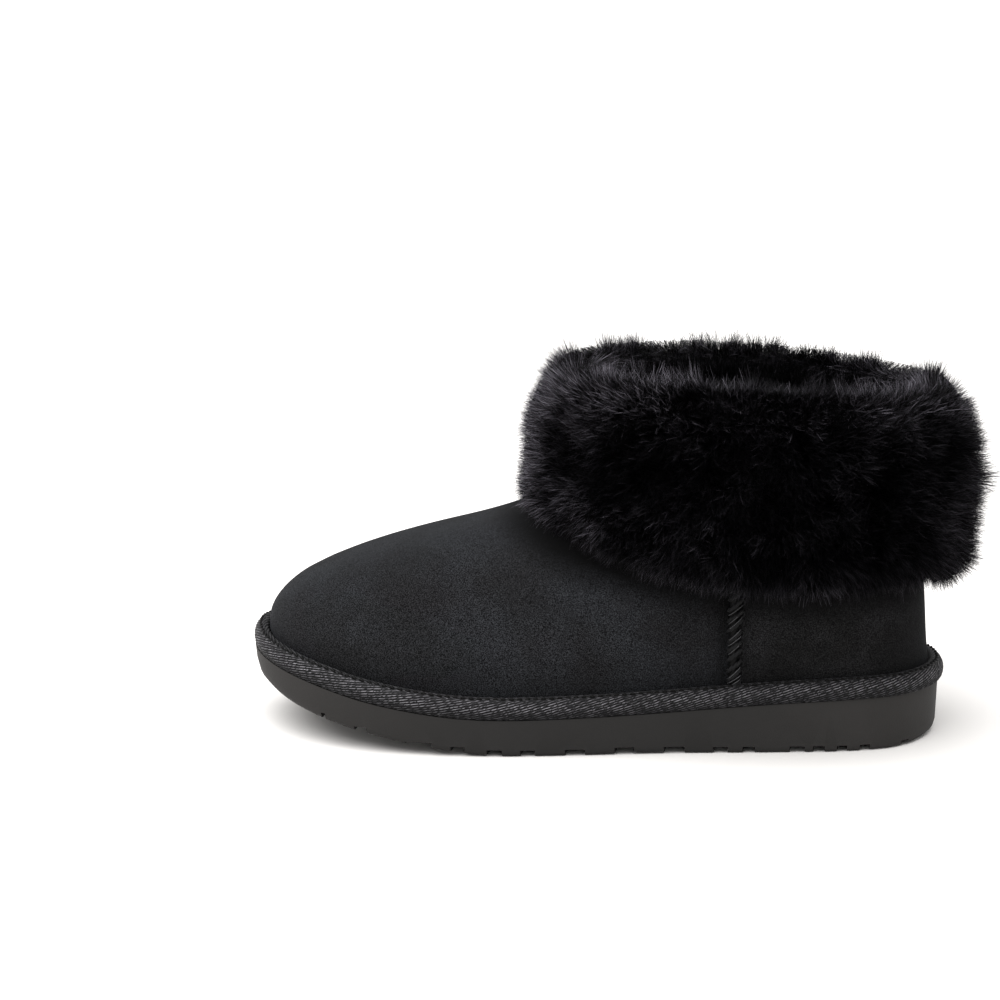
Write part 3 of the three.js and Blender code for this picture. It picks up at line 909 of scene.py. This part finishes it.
def painted_sheen(points, normals, ways):
    """How much painted sheen greys a strand's tip, by where it grows and how it leans: most in front and on
    the crest.
    """
    front, back = np.clip(-ways[:, 0], 0, 1), np.clip(ways[:, 0], 0, 1)
    up, down = np.clip(ways[:, 2], 0, 1), np.clip(-ways[:, 2], 0, 1)
    patch = np.clip(1 + 1.6 * drift(points, 60, 9)[:, 0] + 0.9 * drift(points, 140, 4)[:, 1], 0.12, 2.4)
    high = np.clip(1 - (crest_height(points) - points[:, 2]) / crest_reach, 0, 1)
    edge = np.clip(-normals[:, 0], 0, 1) ** 4
    along = (points[:, 0] - cuff_middle.x) / half_cuff
    frontward, heelward = np.clip(-along, 0, 1), np.clip(along, 0, 1)
    # Painted shade on the crest: less sheen on its inner side than its outer, and more towards both ends.
    inner_share = 0.25 + 0.6 * frontward + 0.6 * heelward
    outer_share = 0.45 + 0.95 * frontward + 0.5 * heelward
    high *= np.where(points[:, 1] > 0, inner_share, outer_share)
    lit = least_painted_sheen + (front_painted_sheen * front**2 + edge_painted_sheen * edge) * (1 - 0.7 * down) + back_painted_sheen * back**2
    lit += (crest_painted_sheen * high**1.2 + crest_front_painted_sheen * high * up * front) * (1 - 0.45 * up)
    lit += under_painted_sheen * down
    return np.minimum(lit * patch, painted_sheen_limit)


def crest_height(points):
    """How high the cuff's own crest stands at each point's length along the boot."""
    share = (points[:, 0] - cuff_low.x) / (cuff_high.x - cuff_low.x)
    return np.interp(share, crest_shares, crest_heights)


def fur_piece(name, faces):
    """One stretch of fur. Its tips lie about on the cuff's own outline, drawn together tuft by tuft."""
    share = sum(face.calc_area() for face in faces) / fur_area
    points, ways = scattered(faces, round(strand_count * share))
    count = len(points)
    tuft = nearest(tuft_tree, points)
    lock = nearest(lock_tree, points)
    depth = np.empty(count)
    for k, (place, way) in enumerate(zip(points, ways)):
        hit = upper_tree.ray_cast(Vector(place), Vector(-way), skin_search)[3]
        depth[k] = (hit or skin_search) - root_gap
    depth = np.clip(depth, *fur_reach)
    up = np.clip(ways[:, 2], 0, 1)
    down = np.clip(-ways[:, 2], 0, 1)
    lean = unit(ways + tuft_lean[tuft] + 0.4 * draws.normal(size=points.shape))
    root = points - ways * depth[:, None]
    gather = tuft_points[tuft] + tuft_ways[tuft] * 1.5 * mm
    back = np.clip(ways[:, 0], 0, 1)
    rim = np.maximum(up, back)
    pull = 0.3 * draws.random(count) + 0.6 * rim
    along = (points[:, 0] - cuff_middle.x) / half_cuff
    heel_near = np.clip(along, 0, 1) * np.clip(-ways[:, 1] + 0.4, 0, 1)
    heel_far = np.clip(along + 0.6, 0, 1) * (points[:, 1] > 0)
    stand = (heel_rise * heel_near - rim_drop - far_drop * heel_far - back_drop * back) * up * mm
    tip = points + (gather - points) * pull[:, None]
    tip += (lock_points[lock] - points) * (0.25 * rim)[:, None]
    reach = tuft_length[tuft] * (1 + 1.0 * up + 0.9 * back)
    reach = reach + draws.normal(size=count) * strand_vary * mm + stand
    reach += lock_length[lock] * (up + 0.5 * back)
    reach += (1.2 * back + 2.5 * back * down) * mm
    tip += (lean - ways) * depth[:, None] * 0.5 + lean * reach[:, None]
    middle = root + ways * depth[:, None] * 0.6 + draws.normal(size=points.shape) * root_vary * mm
    # Each strand's tone is a random share of the painted sheen where it grows.
    shade = np.clip(draws.random(count) ** 4 * painted_sheen(points, ways, lean), 0, 1)
    mesh = strands_mesh(name, root, middle, tip, strand_width, shade, fur)
    return piece(name, mesh, "fur_cuff")


def centre_of(face):
    return face.calc_center_median() - cuff_middle


outer_faces = [face for face in fur_faces if centre_of(face).y < 0]
inner_faces = [face for face in fur_faces if centre_of(face).y >= 0]
fur_piece("fur_outer_front", [f for f in outer_faces if centre_of(f).x < 0])
fur_piece("fur_outer_back", [f for f in outer_faces if centre_of(f).x >= 0])
fur_piece("fur_inner_front", [f for f in inner_faces if centre_of(f).x < 0])
fur_piece("fur_inner_back", [f for f in inner_faces if centre_of(f).x >= 0])

# The same pile lines the shaft. It stands in and up from the wall, so that the mouth of the boot is all fur.

lining_shape = bmesh.new()
lining_shape.from_mesh(upper_mesh)
bmesh.ops.triangulate(lining_shape, faces=lining_shape.faces)
lining_faces = [
    face
    for face in lining_shape.faces
    if face.calc_center_median().z > upper_high.z - lining_deep
    and (face.material_index == 1 or (face.normal.z > 0.3 and face.calc_center_median().z > cuff_middle.z))
]
lining_points, lining_ways = scattered(lining_faces, lining_count)
near_rim = np.clip((lining_points[:, 2] - upper_high.z) / (14 * mm) + 1, 0, 1)[:, None]
lining_lean = unit(
    lining_ways * (1 - 0.5 * near_rim)
    + np.array([0, 0, 1]) * (0.3 + 0.9 * near_rim)
    + 0.35 * drift(lining_points, 130, 5)
    + 0.15 * draws.normal(size=lining_points.shape)
)
lining_length = lining_reach * (0.85 + 0.3 * draws.random(lining_count))[:, None]
lining_tips = lining_points + lining_lean * lining_length
lining_middles = lining_points + lining_ways * lining_length * 0.45 + lining_lean * lining_length * 0.2
lining_shades = 0.04 * draws.random(lining_count) ** 4
lining_mesh = strands_mesh(
    "fur_lining", lining_points, lining_middles, lining_tips, strand_width, lining_shades, fur
)
piece("fur_lining", lining_mesh)
lining_shape.free()

# The turned-down skin, seen only as darkness between the strands.

skin_thick = 2.5 * mm

skin, skin_tree, skin_shader = new_finish("dark_skin", {"Roughness": 1.0, "Specular IOR Level": 0.0})
skin_place = add(skin_tree, "TexCoord", {}).outputs["Object"]
skin_noise = add(skin_tree, "TexNoise", {"Vector": skin_place, "Scale": 300}).outputs["Fac"]
skin_tone = add(skin_tree, "Mix", {0: skin_noise, 6: grey(3, 3, 3), 7: grey(10, 10, 10)}, data_type="RGBA")
skin_tree.links.new(skin_tone.outputs[2], skin_shader.inputs["Base Color"])
skin_lift = 8 * mm
for vertex in cuff_shape.verts:
    near, way, _, far = upper_tree.find_nearest(vertex.co)
    if far > skin_thick:
        vertex.co = near + (vertex.co - near).normalized() * skin_thick
    low_share = (cuff_middle.z - vertex.co.z) / (cuff_middle.z - cuff_low.z)
    if low_share > 0:
        thick = min(far, skin_thick)
        near, way = upper_tree.find_nearest(vertex.co + Vector((0, 0, skin_lift * low_share)))[:2]
        vertex.co = near + way * thick
piece("cuff_skin", mesh_of("cuff_skin", cuff_shape, [skin]))
